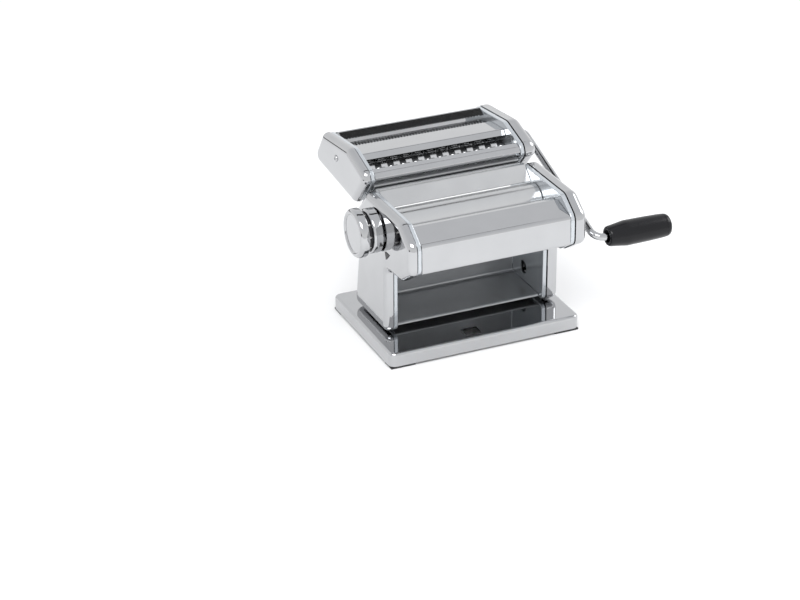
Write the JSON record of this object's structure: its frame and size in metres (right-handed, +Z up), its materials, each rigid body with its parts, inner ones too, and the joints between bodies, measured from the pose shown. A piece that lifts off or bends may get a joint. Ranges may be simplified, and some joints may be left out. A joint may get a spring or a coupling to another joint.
{
  "type": "pasta roller machine",
  "caption": "Hand-cranked pasta sheeter: smooth geared rollers with a thickness dial on a chromed stand, and a hooked-on head of wide and fine cutters.",
  "frame": {"origin": "centre of the whole object's footprint, on the surface it stands on", "axes": "+X along the rollers towards the crank, +Y to the cutter head at the rear, +Z up"},
  "size_m": [0.3044, 0.229, 0.1743],
  "materials": {
    "chrome": "polished chrome on drawn steel sheet",
    "satin_steel": "satin sheet",
    "zinc_plate": "bright zinc plated sheet",
    "plain_steel": "plain turned or pressed steel",
    "roller_aluminium": "bright anodised, turned",
    "nylon": "natural nylon",
    "black_plastic": "smooth moulded",
    "rubber": "soft matt"
  },
  "bodies": {
    "stand": {"base_plate": "chrome", "foot_front_left": "rubber", "foot_front_right": "rubber", "foot_rear_left": "rubber", "foot_rear_right": "rubber", "left_side_plate": "zinc_plate", "right_side_plate": "zinc_plate", "left_cover": "chrome", "right_cover": "chrome", "tie_rod_front": "plain_steel", "tie_rod_rear": "plain_steel", "tie_rod_low": "plain_steel", "front_cover": "chrome", "hopper_plate": "satin_steel", "dough_tray": "chrome", "head_rail": "plain_steel", "front_bush_left": "nylon", "front_bush_right": "nylon", "front_scraper": "plain_steel", "knob_stud": "plain_steel", "knob_spring": "plain_steel", "dial_pointer": "black_plastic"},
    "drive_roller": {"front_roller": "roller_aluminium", "front_roller_gear": "plain_steel", "front_roller_socket": "plain_steel"},
    "carriage": {"rear_carrier_left": "nylon", "rear_carrier_right": "nylon", "rear_scraper": "plain_steel"},
    "idle_roller": {"rear_roller": "roller_aluminium", "rear_roller_gear": "plain_steel"},
    "knob_slider": {"knob_washer": "plain_steel"},
    "knob": {"knob_cap": "chrome", "knob_ring": "black_plastic", "knob_drum": "chrome", "adjuster_cam": "plain_steel"},
    "cutter_head": {"head_left_plate": "zinc_plate", "head_right_plate": "zinc_plate", "head_left_cover": "chrome", "head_right_cover": "chrome", "head_rear_guard": "chrome", "head_divider": "chrome", "head_front_guard": "chrome", "head_hook_plate": "plain_steel", "wide_comb_front": "plain_steel", "wide_comb_rear": "plain_steel", "fine_comb_front": "plain_steel", "fine_comb_rear": "plain_steel"},
    "wide_rear": {"wide_cutter_rear": "roller_aluminium", "wide_rear_gear": "plain_steel", "wide_cutter_socket": "plain_steel"},
    "wide_front": {"wide_cutter_front": "roller_aluminium", "wide_front_gear": "plain_steel"},
    "fine_front": {"fine_cutter_front": "roller_aluminium", "fine_front_gear": "plain_steel", "fine_cutter_socket": "plain_steel"},
    "fine_rear": {"fine_cutter_rear": "roller_aluminium", "fine_rear_gear": "plain_steel"},
    "crank": {"crank_rod": "chrome"},
    "grip": {"crank_grip": "black_plastic"}
  },
  "joints": [
    {"name": "front_roller_turn", "type": "hinge", "parent": "stand", "child": "drive_roller", "pos_m": [-0.0388, -0.079, 0.1195], "axis": [1, 0, 0], "continuous": true},
    {"name": "roller_gap", "type": "slide", "parent": "stand", "child": "carriage", "axis": [0, -1, 0], "range_m": [0, 0.0042]},
    {"name": "rear_roller_turn", "type": "hinge", "parent": "carriage", "child": "idle_roller", "pos_m": [-0.0388, -0.0392, 0.1195], "axis": [1, 0, 0], "continuous": true},
    {"name": "knob_pull", "type": "slide", "parent": "stand", "child": "knob_slider", "axis": [-1, 0, 0], "range_m": [0, 0.003], "stiffness_N_per_m": 1500, "springref_m": -0.002},
    {"name": "knob_turn", "type": "hinge", "parent": "knob_slider", "child": "knob", "pos_m": [-0.1388, -0.0375, 0.12], "axis": [1, 0, 0], "range_deg": [0, 324]},
    {"name": "head_lift", "type": "slide", "parent": "stand", "child": "cutter_head", "axis": [0, 0.719, 0.695], "range_m": [0, 0.08]},
    {"name": "wide_rear_turn", "type": "hinge", "parent": "cutter_head", "child": "wide_rear", "pos_m": [-0.0388, 0.0356, 0.1455], "axis": [1, 0, 0], "continuous": true},
    {"name": "wide_front_turn", "type": "hinge", "parent": "cutter_head", "child": "wide_front", "pos_m": [-0.0388, 0.016, 0.1455], "axis": [1, 0, 0], "continuous": true},
    {"name": "fine_front_turn", "type": "hinge", "parent": "cutter_head", "child": "fine_front", "pos_m": [-0.0388, 0.059, 0.15], "axis": [1, 0, 0], "continuous": true},
    {"name": "fine_rear_turn", "type": "hinge", "parent": "cutter_head", "child": "fine_rear", "pos_m": [-0.0388, 0.0786, 0.15], "axis": [1, 0, 0], "continuous": true},
    {"name": "crank_pull", "type": "slide", "parent": "fine_front", "child": "crank", "axis": [1, 0, 0], "range_m": [0, 0.03]},
    {"name": "grip_spin", "type": "hinge", "parent": "crank", "child": "grip", "pos_m": [0.1212, -0.0995, 0.097], "axis": [1, 0, 0], "continuous": true}
  ],
  "couplings": [
    {"joint": "knob_turn", "follows": "roller_gap", "rad_per_m": 1346.4},
    {"joint": "rear_roller_turn", "follows": "front_roller_turn", "ratio": -1},
    {"joint": "wide_front_turn", "follows": "wide_rear_turn", "ratio": -1},
    {"joint": "fine_rear_turn", "follows": "fine_front_turn", "ratio": -1}
  ]
}
